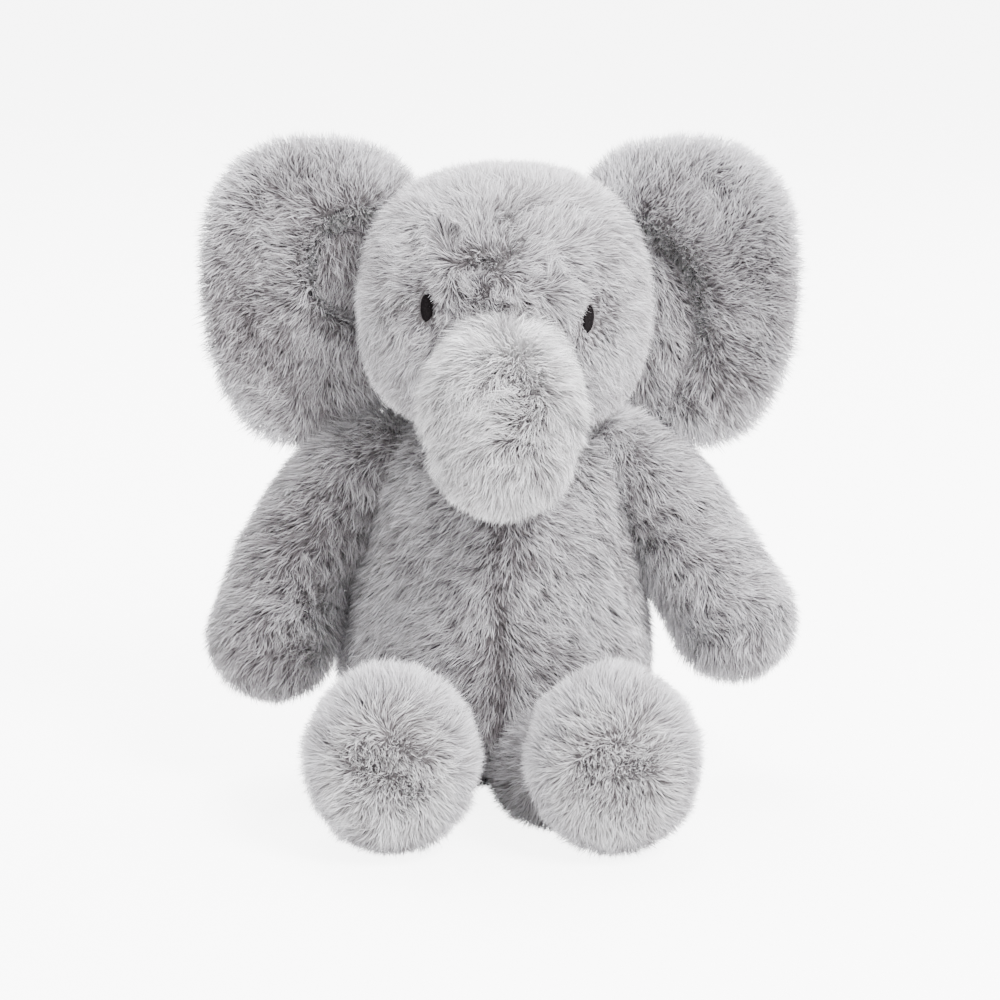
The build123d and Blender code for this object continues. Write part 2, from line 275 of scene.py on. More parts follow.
def head_skin():
    rows, columns = 84, 120
    up = np.linspace(-math.pi / 2 + 0.01, math.pi / 2 - 0.01, rows)
    rx, ry, rz = (r - INSET for r in HEAD_RADII)
    rx -= 1.5
    centres = np.stack([np.full(rows, HEAD[0]), np.full(rows, HEAD[1]), HEAD[2] + rz * np.sin(up)], 1)
    radii = np.stack([rx * np.cos(up), ry * np.cos(up)], 1)
    points, faces = ring_surface(centres, radii, (0, 1, 0), columns)
    faces = orient(points, faces)
    rise = sum(height * nearness(points, middle, radius) for middle, radius, height in HEAD_SWELLINGS)
    points = points + vertex_normals(points, faces) * rise[:, None]
    valley = bump(gap_to_balls(points, TRUNK) - 1.0, 5.5) * beside_trunk(points, 10, 14)
    points = points - vertex_normals(points, faces) * (valley * 4.0)[:, None]
    for side, (x, z) in EYES.items():
        points = press(points, faces, [(x + side, EYE_Y, z + 13), (x, EYE_Y, z), (x, EYE_Y, z - 5)], 8.0, 3.6)
    points = press(points, faces, [(-22, -62, 211), (3, -64, 219), (27, -62, 209)], 7.0, 3.0)
    return points, faces


def trunk_skin():
    points, faces = stuffed_tube(TRUNK, rows=60, columns=84, hint=(0, -1, 1))
    return points, orient(points, faces)


def hollow_reach(side, p):
    """How far a point is from the middle of the ear's hollow: 1 on its edge."""
    (out, height), (half_out, half_height), _, _ = EAR_HOLLOW[side]
    return np.hypot((np.abs(p[:, 0]) - EAR_HINGE_OUT - out) / half_out, (p[:, 2] - height) / half_height)


def ear_skin(side):
    """A padded ear: a puffy rim round a hollow, with the fold that runs down beside the head."""
    rim = spline(EAR_RIM + EAR_RIM[:1], 97)[:-1]
    spokes = rim - EAR_MIDDLE
    inward = (1 - (INSET - 2) / np.maximum(np.linalg.norm(spokes, axis=1), 1))[:, None]
    shares = np.sin(np.linspace(0.02, 1, 26) * math.pi / 2)
    layers = []
    for face, steps in ((-1, shares), (1, shares[::-1][1:])):
        for share in steps:
            flat = EAR_MIDDLE + spokes * share * inward
            thick = EAR_HALF_THICKNESS * math.sqrt(max(1 - share ** 3.2, 0))
            layers.append(np.stack([side * flat[:, 0], np.full(len(rim), face * thick), flat[:, 1]], 1))
    points = np.array(layers).reshape(-1, 3)
    faces = orient(points, grid_faces(len(layers), len(rim)))
    front = 1 / (1 + np.exp(points[:, 1] / 2.0))
    out = np.abs(points[:, 0])
    # the cup: the rim comes forward and the middle goes back
    middle = bump(np.hypot(out - 38, (points[:, 2] - 206) / 1.35), 30)
    points[:, 1] += middle * (3.5 + 3.0 * front)
    points[:, 1] -= 4.0 * np.clip((out - 52) / 25, 0, 1) ** 2
    c, s = math.cos(EAR_SWEEP), math.sin(EAR_SWEEP)
    turned = np.stack([points[:, 0] * c, points[:, 1] - np.abs(points[:, 0]) * s, points[:, 2]], 1)
    turned[:, 0] += -side * points[:, 1] * s
    placed = turned + np.array([EAR_HINGE[side][0], EAR_HINGE[side][1], 0])
    r = hollow_reach(side, placed)
    _, _, recess, groove = EAR_HOLLOW[side]
    placed[:, 1] += front * recess / (1 + np.exp((r - 1.0) * 7))
    placed[:, 1] += front * groove * bump(r - 1.0, 0.20)
    placed[:, 1] -= front * 2.5 * bump(r - 1.45, 0.35)
    return placed, faces


def arm_skin(side):
    points, faces = stuffed_tube(ARMS[side], rows=64, columns=72, hint=(0, -1, 0))
    faces = orient(points, faces)
    swell = smooth_noise(points, 60, 31 + side)[:, 0]
    return points + vertex_normals(points, faces) * (swell * 0.8)[:, None], faces


def leg_skin(side):
    """A leg lying forward. The left thigh spreads on the floor, and a sole is a little taller than wide."""
    line = spline(LEG, 90)
    y, z, r = line.T
    sole = np.clip((-85 - y) / 20, 0, 1)
    hip_x, sole_x = HIP[side][0], SOLE[side][0]
    x = hip_x + (sole_x - hip_x) * np.clip((-38 - y) / 60, 0, 1)
    thigh = bump(y + 48, 21) if side > 0 else bump(y + 46, 20) * 0.3
    x = x - side * 11 * thigh
    z = z - 12 * thigh
    radius = np.maximum(r - INSET, 0.5) + 6.5 * thigh
    y = y + np.where(y < -100, INSET * np.clip((-100 - y) / 30, 0, 1), 0)
    centres = np.stack([x, y, z + 3.2 * sole], 1)
    radii = np.stack([radius * (1 - 0.025 * sole), radius * (1 + 0.11 * sole)], 1)
    points, faces = ring_surface(centres, radii, (0, 0, 1), 84)
    faces = orient(points, faces)
    around = np.linspace(0, 2 * math.pi, 40)
    seam = np.stack([sole_x + 25.5 * np.cos(around), np.full(40, SOLE_SEAM_Y * 1.0),
                     34 + 24.5 * np.sin(around)], 1)
    points = press(points, faces, seam, 3.0, 1.8)
    points[:, 2] = np.maximum(points[:, 2], 3.0)
    return points, faces


def tail_skin():
    points, faces = stuffed_tube(TAIL, inset=TAIL_INSET, rows=30, columns=32, hint=(0, 1, 1))
    return points, orient(points, faces)


# ---------------------------------------------------------------- how the pile is combed
# A comb turns places and normals into the direction in which each strand leans. Its length says how strongly.

def away_from(p, centre, stretch=(1, 1, 1)):
    return unit((p - np.array(centre, float)) * np.array(stretch, float))


def torso_comb(p, n):
    side = np.tanh(p[:, 0] / 9)
    spread = 0.30 + 0.45 * bump(p[:, 2] - 75, 45) * bump(p[:, 0], 45)
    return np.stack([spread * side, 0 * side, -0.8 + 0 * side], 1)


def head_comb(p, n):
    crown = np.array([-2.0, -58, 238])
    d = np.linalg.norm(p - crown, axis=1)[:, None]
    near = np.exp(-((d / 30) ** 2))
    side = np.sign(p[:, 0] - HEAD[0])[:, None]
    far = np.hstack([0.45 * side, 0.30 + 0 * side, -0.85 + 0 * side])
    top = np.clip((p[:, 2:] - 235) / 20, 0, 1)
    far = far * (1 - top) + np.hstack([0.35 * side, 0.9 + 0 * side, 0 * side]) * top
    flow = near * away_from(p, crown) * np.clip(d / 22, 0.05, 0.8) + (1 - near) * far
    for x, z in EYES.values():
        eye = np.array([x, EYE_Y, z])
        close = np.exp(-((np.linalg.norm(p - eye, axis=1)[:, None] / 10) ** 2))
        flow = flow * (1 - close) + away_from(p, eye) * close
    return flow


def trunk_comb(p, n):
    """Smooth over the top and the tip, with cross-combed tufts in the middle."""
    side = np.tanh((p[:, 0] - 6) / 9)
    swirl = bump(p[:, 2] - 181, 13) * bump(p[:, 0] - 5, 13)
    return np.stack([0.35 * side - 0.75 * swirl, 0 * side, -0.8 + 0.45 * swirl], 1)


def ear_comb(side):
    def comb(p, n):
        out, height = EAR_HOLLOW[side][0]
        centre = np.array([side * (52 + out), 0, height - 8])
        r = hollow_reach(side, p)[:, None]
        front = n[:, 1:2] < 0
        flow = away_from(p, centre, (1, 0.2, 1)) + np.array([side * 0.1, 0, -0.35])
        rim = (1 - np.abs(n[:, 1:2])) ** 1.5
        flow = flow * (1 - 0.5 * rim) + np.array([0, 1.0, -0.25]) * rim
        inside = front / (1 + np.exp((r - 0.95) * 9))
        down = np.array([side * 0.15, 0, -0.9])
        return flow * (1 - inside) + down * inside
    return comb


def arm_comb(side):
    a, b = SHOULDER[side], np.array(ARMS[side][-1][0], float)
    along = unit(b - a)
    outward = np.array([side * 1.0, 0, 0])
    down = np.array([0, 0, -1.0])

    def comb(p, n):
        end = np.clip(((p - b) @ along + 6) / 24, 0, 1)[:, None]
        paw = down * 0.7 + away_from(p, b + along * 6) * 0.4
        return (along * 0.8 + outward * 0.40) * (1 - end) + paw * end
    return comb


def leg_comb(side):
    centre = SOLE[side] + np.array([0, 4, 3])

    def comb(p, n):
        flow = away_from(p, centre, (1, 0.4, 1))
        flow = flow * np.clip((np.linalg.norm(p - centre, axis=1) - 11) / 18, 0.03, 1)[:, None]
        back = np.clip((p[:, 1:2] + 112) / 20, 0, 1)
        return flow * (1 - back) + np.array([side * 0.15, 0.75, -0.35]) * back + np.array([0, 0, -0.12])
    return comb


def tail_comb(p, n):
    return np.tile([0, 0.4, -1.0], (len(p), 1))


# ---------------------------------------------------------------- which panel a point belongs to

def torso_panel(p):
    out = np.where(p[:, 0] < 0, np.where(p[:, 1] < 6, 0, 2), np.where(p[:, 1] < 6, 1, 3))
    return np.where(p[:, 2] < 12, 4, out)


def head_panel(p):
    band = np.abs(p[:, 0] - HEAD[0]) < 19
    chin = band & (p[:, 1] < -12) & (p[:, 2] < 198)
    return np.where(chin, 3, np.where(band, 2, np.where(p[:, 0] < HEAD[0], 0, 1)))


def trunk_panel(p):
    return ((p[:, 1] + 48) * 0.70 - (p[:, 2] - 197) * 0.72 > 0).astype(int)


def ear_panel(side):
    def panel(p):
        y = EAR_HINGE[side][1] + 4 - (np.abs(p[:, 0]) - EAR_HINGE_OUT) * math.tan(EAR_SWEEP)
        return (p[:, 1] > y).astype(int)
    return panel


def arm_panel(side):
    a, b = SHOULDER[side], np.array(ARMS[side][-1][0], float)

    def panel(p):
        return (p[:, 1] > a[1] + (b[1] - a[1]) * (p[:, 2] - a[2]) / (b[2] - a[2])).astype(int)
    return panel


def leg_panel(p):
    return np.where(p[:, 1] < SOLE_SEAM_Y, 2, (p[:, 2] < 30).astype(int))


def tail_panel(p):
    return (p[:, 0] > 0).astype(int)


# ---------------------------------------------------------------- where other parts cover a skin

def balls_along(balls):
    """The balls at each quarter between neighbours in a row of balls."""
    for (c0, r0), (c1, r1) in zip(balls, balls[1:]):
        for t in (0, 0.25, 0.5, 0.75, 1):
            yield np.array(c0, float) * (1 - t) + np.array(c1, float) * t, r0 * (1 - t) + r1 * t


def inside_balls(p, balls, margin):
    hit = np.zeros(len(p), bool)
    for centre, radius in balls_along(balls):
        hit |= np.linalg.norm(p - centre, axis=1) < radius - margin
    return hit


def inside_head(p, margin):
    r = np.array(HEAD_RADII) - margin
    return np.sum(((p - np.array(HEAD)) / r) ** 2, axis=1) < 1


def inside_torso(p, margin):
    z = [s[0] for s in TORSO]
    r = [s[1] for s in TORSO]
    return (np.hypot(p[:, 0], p[:, 1]) < np.interp(p[:, 2], z, r, left=0, right=0) - margin) & (p[:, 2] > 0)


def gap_to_balls(p, balls):
    """Distance from a point to the skin of a stuffed tube. It is negative inside."""
    gap = np.full(len(p), 1e9)
    for centre, radius in balls_along(balls):
        gap = np.minimum(gap, np.linalg.norm(p - centre, axis=1) - radius + INSET)
    return gap


def gap_to_head(p):
    r = np.array(HEAD_RADII) - INSET
    return (np.linalg.norm((p - np.array(HEAD)) / r, axis=1) - 1) * r.min()


def covered(name, p):
    """True for roots so deep in a neighbour that no pose shows them."""
    deep = 11.0
    if name == "torso":
        hit = inside_head(p, deep)
        for side, _ in SIDES:
            hit |= np.linalg.norm(p - SHOULDER[side], axis=1) < SHOULDER_RADIUS - deep
            hit |= np.linalg.norm(p - HIP[side], axis=1) < HIP_RADIUS - deep + 4
        return hit
    if name == "head":
        return inside_torso(p, deep) | inside_balls(p, TRUNK, deep + 4)
    if name in ("trunk", "right_ear", "left_ear"):
        return inside_head(p, deep)
    return inside_torso(p, deep)


# ---------------------------------------------------------------- materials

def ramp(nodes, stops):
    node = nodes.new("ShaderNodeValToRGB")
    node.color_ramp.interpolation = "EASE"
    while len(node.color_ramp.elements) < len(stops):
        node.color_ramp.elements.new(0.5)
    for element, (place, colour) in zip(node.color_ramp.elements, stops):
        element.position = place
        element.color = (*colour, 1)
    return node


def new_material(name):
    made = bpy.data.materials.new(name)
    made.use_nodes = True
    tree = made.node_tree
    return made, tree.nodes, tree.links, tree.nodes["Principled BSDF"]


def fur_material(name, root, tip):
    """Strands: the map's U is the strand's shade, painted light and shade included, and V runs from root to
    tip.
    """
    made, nodes, links, shader = new_material(name)
    uv = nodes.new("ShaderNodeUVMap")
    uv.uv_map = "OFBake"
    parts = nodes.new("ShaderNodeSeparateXYZ")
    links.new(uv.outputs[0], parts.inputs[0])
    middle = tuple(a * 0.62 + b * 0.38 for a, b in zip(root, tip))
    length = ramp(nodes, [(0.0, root), (0.45, middle), (0.95, tip)])
    links.new(parts.outputs["Y"], length.inputs[0])
    shade = ramp(nodes, [(0.0, (0.26, 0.235, 0.24)), (0.42, (0.80, 0.78, 0.79)), (1.0, (1.20, 1.20, 1.21))])
    links.new(parts.outputs["X"], shade.inputs[0])
    mix = nodes.new("ShaderNodeMix")
    mix.data_type = "RGBA"
    mix.blend_type = "MULTIPLY"
    mix.inputs["Factor"].default_value = 1.0
    links.new(length.outputs[0], mix.inputs["A"])
    links.new(shade.outputs[0], mix.inputs["B"])
    links.new(mix.outputs["Result"], shader.inputs["Base Color"])
    shader.inputs["Roughness"].default_value = 0.62
    shader.inputs["Specular IOR Level"].default_value = 0.25
    shader.inputs["Sheen Weight"].default_value = 0.75
    shader.inputs["Sheen Roughness"].default_value = 0.45
    return made


def cloth_material(name, dark, light, scale=900.0, rough=0.9, sheen=0.3, shine=0.5):
    """Backing cloth, fibre or thread, with a fine uneven tone."""
    made, nodes, links, shader = new_material(name)
    coordinates = nodes.new("ShaderNodeTexCoord")
    noise = nodes.new("ShaderNodeTexNoise")
    noise.inputs["Scale"].default_value = scale
    noise.inputs["Detail"].default_value = 3.0
    links.new(coordinates.outputs["Object"], noise.inputs["Vector"])
    tone = ramp(nodes, [(0.3, dark), (0.7, light)])
    links.new(noise.outputs["Fac"], tone.inputs[0])
    links.new(tone.outputs[0], shader.inputs["Base Color"])
    shader.inputs["Roughness"].default_value = rough
    shader.inputs["Sheen Weight"].default_value = sheen
    shader.inputs["Specular IOR Level"].default_value = shine
    return made


GREY_FUR = fur_material("grey_pile", (0.115, 0.103, 0.110), (0.90, 0.89, 0.91))
PALE_FUR = fur_material("pale_pile", (0.32, 0.305, 0.308), (0.97, 0.965, 0.97))
BACKING = cloth_material("pile_backing", (0.16, 0.145, 0.15), (0.25, 0.23, 0.235))
FIBRE = cloth_material("polyester_fibre", (0.78, 0.78, 0.78), (0.92, 0.92, 0.92), 300)
POUCH = cloth_material("pouch_cloth", (0.7, 0.69, 0.66), (0.85, 0.84, 0.8), 2500)
PELLETS = cloth_material("plastic_pellets", (0.7, 0.72, 0.75), (0.9, 0.92, 0.94), 400,
                         rough=0.35, sheen=0.0)
EYE_THREAD = cloth_material("eye_thread", (0.004, 0.003, 0.0035), (0.014, 0.011, 0.012), 2000,
                            rough=0.55, sheen=0.0, shine=0.06)
SEAM_THREAD = cloth_material("seam_thread", (0.3, 0.29, 0.29), (0.4, 0.39, 0.39), 2500)


# ---------------------------------------------------------------- meshes

def make_mesh(name, points, loops, starts, material, uv=None, normals=None):
    """A mesh object from points in millimetres.

    loops holds the corners of all faces in a row, and starts says where in it each face begins.
    """
    mesh = bpy.data.meshes.new(name)
    mesh.vertices.add(len(points))
    mesh.vertices.foreach_set("co", (points * MM).astype(np.float32).ravel())
    mesh.loops.add(len(loops))
    mesh.loops.foreach_set("vertex_index", loops.astype(np.int32))
    mesh.polygons.add(len(starts))
    mesh.polygons.foreach_set("loop_start", starts.astype(np.int32))
    mesh.update(calc_edges=True)
    mesh.polygons.foreach_set("use_smooth", np.ones(len(starts), bool))
    if uv is not None:
        layer = mesh.uv_layers.new(name="OFBake")
        layer.data.foreach_set("uv", uv[loops].astype(np.float32).ravel())
    if normals is not None:
        mesh.normals_split_custom_set_from_vertices(normals.astype(np.float32))
    mesh.materials.append(material)
    made = bpy.data.objects.new(name, mesh)
    bpy.context.scene.collection.objects.link(made)
    return made


def patch(name, points, faces, keep, material):
    """The part of a skin that one panel covers."""
    used = faces[keep]
    index, inverse = np.unique(used, return_inverse=True)
    return make_mesh(name, points[index], inverse.reshape(-1), np.arange(len(used)) * 4, material)


def sample(points, faces, density):
    """Random roots on a skin: their places and smooth normals."""
    normals = vertex_normals(points, faces)
    a, b, c, d = (points[faces[:, i]] for i in range(4))
    area = 0.5 * np.linalg.norm(np.cross(c - a, d - b), axis=1)
    count = rng.poisson(area * density)
    face = np.repeat(np.arange(len(faces)), count)
    u, v = rng.random(len(face))[:, None], rng.random(len(face))[:, None]
    corner = [faces[face, i] for i in range(4)]
    weights = [(1 - u) * (1 - v), u * (1 - v), u * v, (1 - u) * v]
    place = sum(w * points[i] for w, i in zip(weights, corner))
    normal = unit(sum(w * normals[i] for w, i in zip(weights, corner)))
    return place, normal


def clump_mean(values, ids, count):
    """The mean of the values that share an id."""
    total = np.stack([np.bincount(ids, values[:, i], count) for i in range(values.shape[1])], 1)
    return total / np.maximum(np.bincount(ids, minlength=count), 1)[:, None]


def grow(place, normal, flow, pile, seed, mess):
    """The middle and tip point of each strand, leaning with the flow and gathered into small tufts."""
    count = len(place)
    turn = smooth_noise(place, 26, seed)[:, :1] * mess + smooth_noise(place, 9, seed + 1)[:, :1] * mess * 0.8
    turn = turn + rng.normal(size=(count, 1)) * 0.30
    flow = flow - normal * np.sum(flow * normal, axis=1, keepdims=True)
    strength = np.clip(np.linalg.norm(flow, axis=1, keepdims=True) * 1.25, 0.0, 1.0)
    stray = rng.normal(size=(count, 3)) * 0.25 + smooth_noise(place, 14, seed + 9) * 0.35
    flow = tangent(flow + stray * (1 - strength), normal)
    cross = np.cross(normal, flow)
    flow = flow * np.cos(turn * 1.3) + cross * np.sin(turn * 1.3)
    sway = smooth_noise(place, 17, seed + 2)[:, :1]
    lift = np.clip(0.70 + 0.24 * sway + 0.12 * rng.normal(size=(count, 1)), 0.3, 1.0)
    length = pile * (1 + 0.13 * rng.normal(size=(count, 1)))
    lean = 0.35 + 0.65 * strength
    middle = place + normal * length * 0.46 + flow * length * 0.16 * lean
    tip = place + normal * length * (0.46 + 0.42 * lift) + flow * length * (0.78 - 0.30 * lift) * lean
    for cell, pull in TUFTS:
        warped = place + smooth_noise(place, 11, seed + 5) * cell * 0.6
        warped = warped + rng.normal(size=(count, 3)) * cell * 0.22
        # one number for each cell, by large primes
        keys = np.floor(warped / cell).astype(np.int64)
        keys = (keys[:, 0] * 73856093) ^ (keys[:, 1] * 19349663) ^ (keys[:, 2] * 83492791)
        _, ids = np.unique(keys, return_inverse=True)
        total = ids.max() + 1
        tip = tip + (clump_mean(tip, ids, total)[ids] - tip) * pull
        middle = middle + (clump_mean(middle, ids, total)[ids] - middle) * pull * 0.5
    return middle, tip


def strands(name, place, middle, tip, normal, shade, guard, pale, material):
    """Flat tapering strands: four points at the root and middle, one at the tip.

    guard is 1 on the longer, wider guard hairs. pale, painted light through the pile, lifts the root's tone,
    from 0 to 1.
    """
    count = len(place)
    along = unit(tip - place)
    flat = tangent(np.cross(along, normal), along)
    twist = rng.uniform(-1.1, 1.1, (count, 1))
    across = flat * np.cos(twist) + np.cross(along, flat) * np.sin(twist)
    half = 0.5 * STRAND_WIDTH * rng.uniform(0.7, 1.2, (count, 1)) * (1 + 0.55 * guard[:, None])
    tip = tip + (tip - middle) * 0.12 * guard[:, None]
    points = np.stack([place - across * half, place + across * half,
                       middle - across * half * 0.9, middle + across * half * 0.9, tip], 1).reshape(-1, 3)
    points[:, 2] = np.maximum(points[:, 2], FLOOR_GAP)

    # one four-sided and one three-sided face, turned so that both look out
    ribbon = np.cross(across, along)
    facing = np.sum(ribbon * normal, axis=1)
    corners = np.where((facing < 0)[:, None], [0, 2, 3, 1, 2, 4, 3], [0, 1, 3, 2, 2, 3, 4])
    loops = corners + 5 * np.arange(count)[:, None]
    starts = (7 * np.arange(count)[:, None] + [0, 4]).ravel()

    edge = 0.004
    u = np.clip(shade, 0.01, 0.99)
    root_v, middle_v, tip_v = 0.01 + 0.42 * pale, 0.5 + 0.22 * pale, np.full(count, 0.99)
    places = [(u - edge, root_v), (u + edge, root_v), (u - edge, middle_v), (u + edge, middle_v), (u, tip_v)]
    uv = np.stack([np.stack(pair, 1) for pair in places], 1).reshape(-1, 2)

    # shading between the skin's normal and the strand's own
    outward = ribbon * np.sign(facing[:, None] + 1e-6)
    normals = np.repeat(unit(normal * 0.55 + outward * 0.70 + along * 0.10), 5, axis=0)
    return make_mesh(name, points, loops.ravel(), starts, material, uv, normals)


# ---------------------------------------------------------------- dressing every body

def trim_round_eyes(place, normal):
    """Takes the pile off the eyes, and says what share of its length it keeps everywhere else."""
    bare = np.zeros(len(place), bool)
    share = np.ones(len(place))
    for x, z in EYES.values():
        front = place[:, 1] < HEAD[1] - 20
        oval = np.hypot((place[:, 0] - x) / 2.5, (place[:, 2] - z) / 5.5)
        bare |= (oval < 1.0) & front
        share = np.where(front, np.minimum(share, np.clip(0.26 + 0.34 * (oval - 1), 0.26, 1)), share)
    return place[~bare], normal[~bare], share[~bare]


def head_creases(place, normal):
    # Painted shade: darker where the trunk meets the head, in a ring round each eye, and on both sides of the
    # head.
    fold = 1.3 * bump(gap_to_balls(place, TRUNK) - 1, 4.5) * beside_trunk(place, 8, 14)
    fold += 0.45 * bump(gap_to_balls(place, TRUNK) - 2, 6)
    for x, z in EYES.values():
        eye = np.hypot(place[:, 0] - x * 1.06, place[:, 2] - z - 1)
        fold += 0.8 * bump(eye - 5.5, 4.5) * (normal[:, 1] < 0)
    # over the brow the pile is shorter and darker in patches
    fold += 0.35 * nearness(place, BROW, 27) * (1 + smooth_noise(place, 11, 400)[:, 0])
    # both sides of the head darker, painted shade
    return fold + 0.25 * np.clip((np.abs(place[:, 0] - 2) - 34) / 14, 0, 1)


def sole_creases(side, place):
    """Painted shade in the whorl in the middle of a sole, where the pile stands end-on, and in the fold under
    its heel.
    """
    off_centre = np.hypot(place[:, 0] - SOLE[side][0], place[:, 2] - 39)
    whorl = 0.7 * bump(off_centre, 21) * (place[:, 1] < -110)
    heel = 0.6 * bump(off_centre - 29, 2.2) * (place[:, 1] < -108) * np.clip((26 - place[:, 2]) / 10, 0, 1)
    return whorl + heel


def crease_depth_and_shade(part, side, place, normal):
    """How deep each root lies in a crease, from 0 to about 1. The pile is shorter there, and darker with
    painted shade.
    """
    if part == "head":
        return head_creases(place, normal)
    if part == "trunk":
        # painted shade where the trunk meets the head
        return 0.8 * bump(gap_to_head(place), 3.5) * beside_trunk(place, 12, 12)
    if part.endswith("ear"):
        # painted shade in the groove round the ear's hollow
        return 0.55 * bump(hollow_reach(side, place) - 0.98, 0.22) * (normal[:, 1] < 0)
    if part == "torso":
        # painted shade along the middle seam, front and back
        return 1.3 * bump(np.hypot(place[:, 0], np.maximum(place[:, 2] - 130, 0)), 2.6)
    if part.endswith("leg"):
        return sole_creases(side, place)
    return np.zeros(len(place))


def ear_rim_share(side, place):
    """0 inside the ear and 1 on its rim."""
    out = np.abs(place[:, 0] - EAR_HINGE[side][0]) - EAR_MIDDLE[0]
    reach = np.hypot(out / EAR_HALF_SIZE[0], (place[:, 2] - EAR_MIDDLE[1]) / EAR_HALF_SIZE[1])
    return np.clip((reach - 0.74) / 0.2, 0, 1)


def part_tone_and_painted_light(part, side, place, normal):
    """What the part and the place on it add to the shade of the strands. Much of it is painted light: paler
    flanks and rims on the ears, trunk and arms, paler tops on the ears and trunk, and the toy's left side
    lighter than its right.
    """
    flank = 1 - np.abs(normal[:, 1])
    if part.endswith("ear"):
        # Painted light: a paler rim, paler flanks and a paler top, the top paler still on the left ear, and
        # the left ear lighter than the right.
        rim = ear_rim_share(side, place)
        top = (0.24 + 0.12 * side) * np.clip((place[:, 2] - 225) / 25, 0, 1)
        return 0.32 * rim - 0.05 * (1 - rim) + top + 0.50 * (flank - 0.32) + 0.09 * side
    if part == "trunk":
        # painted light: paler on top and on the flanks
        return 0.14 * np.clip((place[:, 2] - 190) / 12, 0, 1) + 0.10 * flank + 0.07
    if part == "torso":
        middle = bump(place[:, 0], 10 + 0.16 * np.clip(140 - place[:, 2], 0, 100)) * (normal[:, 1] < 0)
        return -0.16 * middle * (1 + 1.2 * smooth_noise(place, 10, 420)[:, 0])
    if part.endswith("arm"):
        # painted light: paler flanks, a darker middle, and the left arm lighter than the right
        return 0.26 * (flank - 0.5) + 0.14 * side - 0.03
    if part.endswith("leg"):
        return 0.20 * np.clip((-80 - place[:, 1]) / 20, 0, 1) - 0.05
    return np.zeros(len(place))


def strand_shade(part, side, place, normal, fold, guard, seed, shade_shift):
    """The shade of each strand: broad clouds, fine streaks, its own luck, painted shade where it stands in a
    crease, and what its place on the toy adds, much of it painted light.
    """
    clouds = 0.13 * smooth_noise(place, 38, 300 + seed)[:, 0] + 0.09 * smooth_noise(place, 9, 350)[:, 1]
    streak = 0.32 if part == "torso" or part.endswith(("ear", "arm")) else 0.20
    streaks = streak * smooth_noise(place, 1.9, 360 + seed, 5)[:, 0]
    luck = 0.22 * rng.normal(size=len(place)) + 0.46 * guard
    # fold darkens strands in a crease with painted shade
    return 0.40 + shade_shift + clouds + luck - 0.32 * fold + streaks + part_tone_and_painted_light(part, side, place, normal)


def root_paleness(part, side, place, normal, fold):
    """Where light comes through the pile: on flanks that look up or sideways, and on the rims of the ears."""
    pale = np.clip((0.72 - np.abs(normal[:, 1])) / 0.6, 0, 1) * np.clip(0.8 + 0.5 * normal[:, 2], 0, 1)
    pale = pale * (1 - np.minimum(fold, 1))
    if part.endswith("ear"):
        pale = np.maximum(pale, 0.75 * ear_rim_share(side, place))
    return pale


def dress(part, skin, panels, panel_of, comb, materials,
          pile=PILE, mess=0.35, seed=0, shade_shift=0.0, side=0):
    """Makes the skin and fur pieces for each sewn panel of one body, which has the part's name."""
    points, faces = skin
    face_panel = panel_of(points[faces].mean(1))
    place, normal = sample(points, faces, DENSITY)
    visible = ~covered(part, place)
    place, normal = place[visible], normal[visible]
    share = np.ones(len(place))
    tufts = mess
    if part == "head":
        place, normal, share = trim_round_eyes(place, normal)
        tufts = mess + 1.0 * nearness(place, BROW, 27) + 0.5 * nearness(place, (4, -68, 216), 15)
    fold = crease_depth_and_shade(part, side, place, normal)
    length = pile * share * (1 - 0.30 * np.minimum(fold, 1))
    if part.endswith("ear"):
        length = length * (1 - 0.42 * (1 - np.abs(normal[:, 1])) ** 1.5)
    tufts = np.broadcast_to(tufts, len(place))[:, None]
    middle, tip = grow(place, normal, comb(place, normal), length[:, None], 100 + seed, tufts)
    guard = (rng.random(len(place)) < GUARD_HAIRS).astype(float)
    shade = strand_shade(part, side, place, normal, fold, guard, seed, shade_shift)
    pale = root_paleness(part, side, place, normal, fold)
    strand_panel = panel_of(place)
    for index, node in enumerate(panels):
        stem = node.replace("_panel", "")
        cloth = patch(stem + "_backing", points, faces, face_panel == index, BACKING)
        mine = np.flatnonzero(strand_panel == index)
        fur = strands(stem + "_pile", place[mine], middle[mine], tip[mine], normal[mine],
                      shade[mine], guard[mine], pale[mine], materials[index])
        for made in (cloth, fur):
            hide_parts(node)
            if part == "trunk":
                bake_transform(made)
            else:
                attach(made, part)


dress("torso", torso_skin(),
      ["torso_front_right_panel", "torso_front_left_panel", "torso_back_right_panel", "torso_back_left_panel",
       "torso_base_panel"],
      torso_panel, torso_comb, [GREY_FUR] * 5, seed=1, mess=0.24, shade_shift=-0.01)
dress("head", head_skin(), ["head_right_panel", "head_left_panel", "head_gusset", "head_chin_panel"],
      head_panel, head_comb, [GREY_FUR] * 4, seed=20, shade_shift=0.02, mess=0.45)
dress("trunk", trunk_skin(), ["trunk_top_panel", "trunk_under_panel"],
      trunk_panel, trunk_comb, [PALE_FUR] * 2, seed=40, mess=0.45)
for side, word in SIDES:
    dress(word + "_ear", ear_skin(side), [word + "_ear_front_panel", word + "_ear_back_panel"],
          ear_panel(side), ear_comb(side), [GREY_FUR] * 2, seed=60 + side, mess=0.3, side=side)
    dress(word + "_arm", arm_skin(side), [word + "_arm_front_panel", word + "_arm_back_panel"],
          arm_panel(side), arm_comb(side), [GREY_FUR] * 2, seed=80 + side, side=side)
    dress(word + "_leg", leg_skin(side),
          [word + "_leg_top_panel", word + "_leg_under_panel", word + "_foot_sole_panel"],
          leg_panel, leg_comb(side), [GREY_FUR, GREY_FUR, PALE_FUR], seed=90 + side, mess=0.5, side=side)
